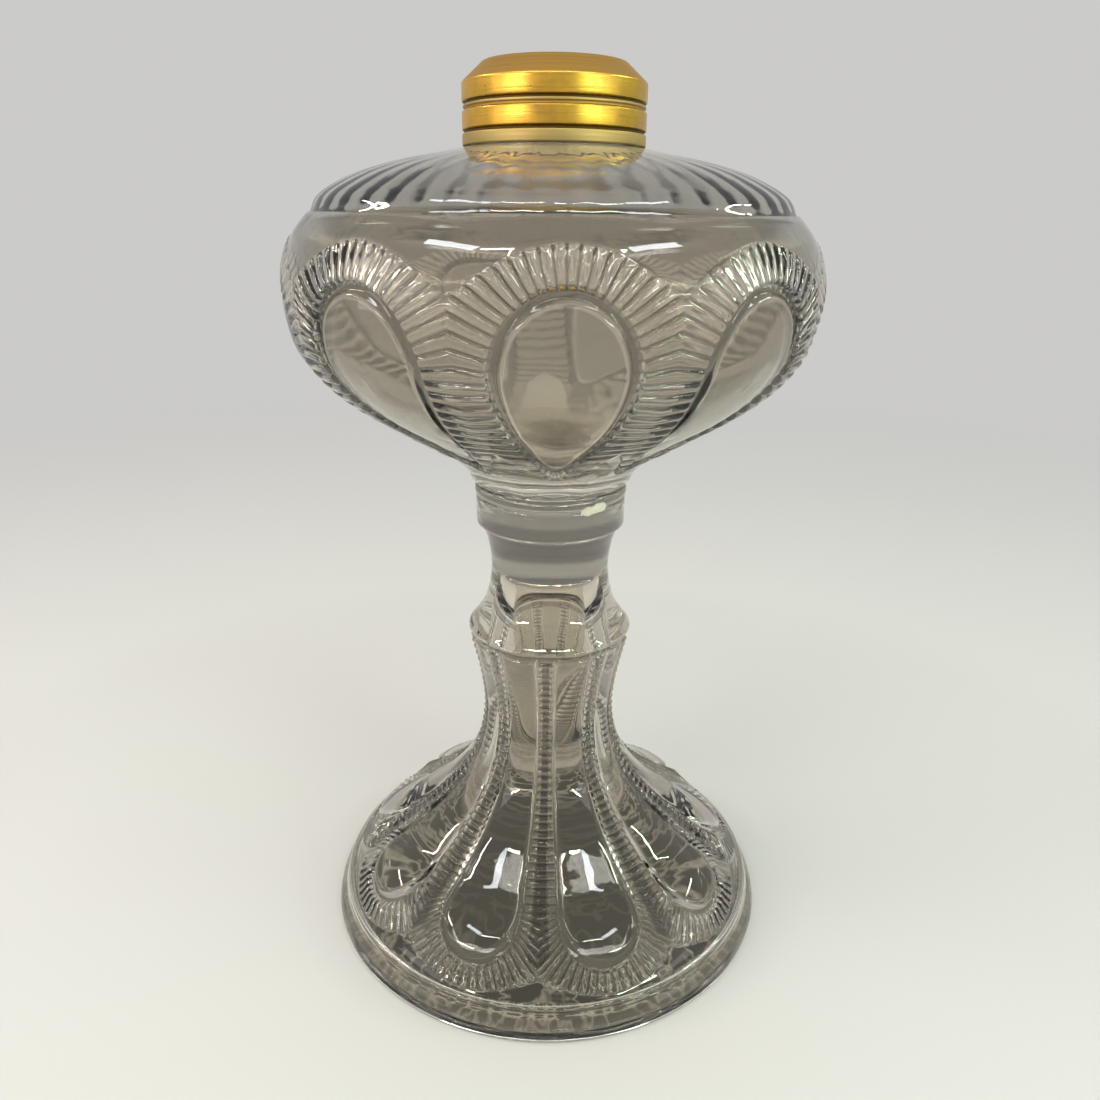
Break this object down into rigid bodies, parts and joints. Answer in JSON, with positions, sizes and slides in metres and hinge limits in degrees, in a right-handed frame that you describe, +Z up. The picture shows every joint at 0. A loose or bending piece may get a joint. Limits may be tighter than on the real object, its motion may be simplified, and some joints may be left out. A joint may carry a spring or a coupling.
{
  "type": "glass oil lamp",
  "caption": "Pressed-glass oil lamp: bulbous looped font on a hollow pedestal foot, with a brass screw collar that takes a flat-wick burner.",
  "frame": {"origin": "centre of the foot's rest face, on the surface that the lamp stands on", "axes": "+Z up along the lamp's axis, -Y towards the viewer of the picture, +X to the viewer's right"},
  "size_m": [0.1349, 0.1345, 0.235],
  "materials": {
    "pedestal_glass": "clear pressed glass, faint warm grey tint, fire polished",
    "wafer_glass": "clear glass, hand laid",
    "font_glass": "clear mould-blown glass, faint warm grey tint, small bubbles",
    "collar_brass": "lathe-brushed yellow brass, darker in the grooves, matt on the bevel",
    "thread_brass": "dull rolled brass",
    "plaster": "matt plaster of Paris"
  },
  "bodies": {
    "root": {"glass_pedestal": "pedestal_glass", "joining_wafer": "wafer_glass", "glass_font": "font_glass", "collar_shell": "collar_brass", "threaded_sleeve": "thread_brass", "bedding_plaster": "plaster"}
  },
  "joints": []
}
